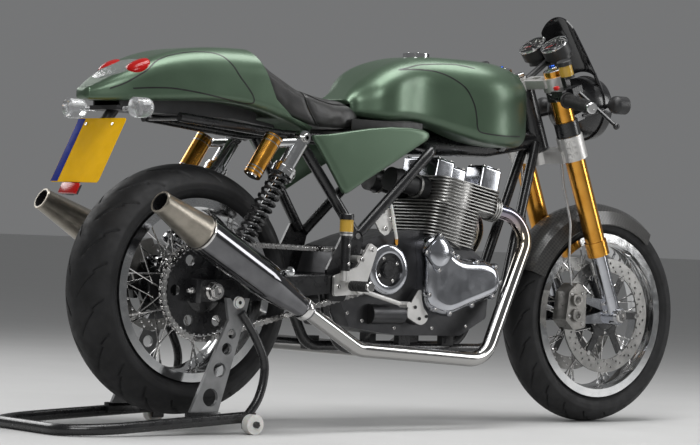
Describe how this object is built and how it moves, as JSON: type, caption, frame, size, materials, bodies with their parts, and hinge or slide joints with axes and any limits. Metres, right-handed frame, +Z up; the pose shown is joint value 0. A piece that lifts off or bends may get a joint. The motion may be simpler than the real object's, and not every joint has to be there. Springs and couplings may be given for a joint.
{
  "type": "cafe racer motorcycle on a paddock stand",
  "caption": "Cafe racer motorcycle with a finned parallel-twin engine, wire wheels and twin silencers, held upright by a rear paddock stand",
  "frame": {"origin": "on the floor, at the middle of the outline along X and Y", "axes": "+X forward along the machine, +Y to the rider's left, +Z up"},
  "size_m": [2.1639, 0.6682, 1.1296],
  "materials": {
    "tyre_rubber": "matte",
    "polished_alloy": "polished",
    "cast_alloy": "satin",
    "black_metal": "satin",
    "bright_steel": "polished",
    "disc_steel": "brushed",
    "gold_anodised": "satin",
    "green_paint": "satin",
    "seat_leather": "matte",
    "black_plastic": "matte",
    "clear_lens": "gloss",
    "red_lens": "gloss",
    "screen_tint": "gloss",
    "plate_yellow": "gloss",
    "carbon_weave": "gloss",
    "stand_grey": "satin",
    "white_nylon": "satin",
    "grip_rubber": "matte",
    "hose_braid": "satin"
  },
  "bodies": {
    "chassis": {"frame_spine": "black_metal", "frame_cradles": "black_metal", "frame_stays": "black_metal", "crankcase": "cast_alloy", "timing_cover": "polished_alloy", "primary_cover": "polished_alloy", "cylinder_block": "cast_alloy", "rocker_boxes": "polished_alloy", "throttle_bodies": "black_plastic", "exhaust_headers": "bright_steel", "mufflers": "bright_steel", "fuel_tank": "green_paint", "filler_cap": "polished_alloy", "tail_cowl": "green_paint", "seat_pad": "seat_leather", "undertray": "black_plastic", "number_plate": "plate_yellow", "tail_lamp": "red_lens", "rear_indicators": "clear_lens", "side_panels": "green_paint", "swingarm": "black_metal", "rear_axle": "bright_steel", "rear_caliper": "black_metal", "shock_bodies": "polished_alloy", "shock_reservoirs": "gold_anodised", "shock_springs": "black_metal", "chain": "disc_steel", "rearsets": "black_metal", "stand_loop": "black_metal", "stand_uprights": "stand_grey"},
    "fork": {"fork_outer_tubes": "gold_anodised", "fork_lowers": "bright_steel", "front_axle": "bright_steel", "yokes": "cast_alloy", "front_calipers": "black_metal", "front_fender": "carbon_weave", "handlebars": "black_metal", "grips": "grip_rubber", "hand_controls": "black_metal", "instruments": "black_plastic", "flyscreen": "screen_tint", "headlamp": "black_metal", "headlamp_lens": "clear_lens", "front_indicators": "black_plastic", "brake_hoses": "hose_braid"},
    "front_wheel": {"front_tyre": "tyre_rubber", "front_rim": "polished_alloy", "front_hub": "bright_steel", "front_discs": "disc_steel"},
    "rear_wheel": {"rear_tyre": "tyre_rubber", "rear_rim": "polished_alloy", "rear_hub": "bright_steel", "rear_sprocket": "disc_steel", "rear_disc": "disc_steel"},
    "side_stand": {"side_stand": "black_metal"},
    "stand_roller_left": {"stand_roller_left": "white_nylon"},
    "stand_roller_right": {"stand_roller_right": "white_nylon"}
  },
  "joints": [
    {"name": "steering", "type": "hinge", "parent": "chassis", "child": "fork", "pos_m": [0.53505, 0, 0.83679], "axis": [-0.3681, 0, 0.9298], "range_deg": [-26, 26]},
    {"name": "front_wheel_spin", "type": "hinge", "parent": "fork", "child": "front_wheel", "pos_m": [0.782, 0, 0.3], "axis": [0, 1, 0], "continuous": true},
    {"name": "rear_wheel_spin", "type": "hinge", "parent": "chassis", "child": "rear_wheel", "pos_m": [-0.638, 0, 0.351], "axis": [0, 1, 0], "continuous": true},
    {"name": "side_stand_fold", "type": "hinge", "parent": "chassis", "child": "side_stand", "pos_m": [-0.138, 0.118, 0.214], "axis": [0.26, -0.9656, 0], "range_deg": [0, 105]},
    {"name": "stand_roller_left_spin", "type": "hinge", "parent": "chassis", "child": "stand_roller_left", "pos_m": [-0.549, 0.215, 0.025], "axis": [0, 1, 0], "continuous": true},
    {"name": "stand_roller_right_spin", "type": "hinge", "parent": "chassis", "child": "stand_roller_right", "pos_m": [-0.549, -0.215, 0.025], "axis": [0, 1, 0], "continuous": true}
  ]
}
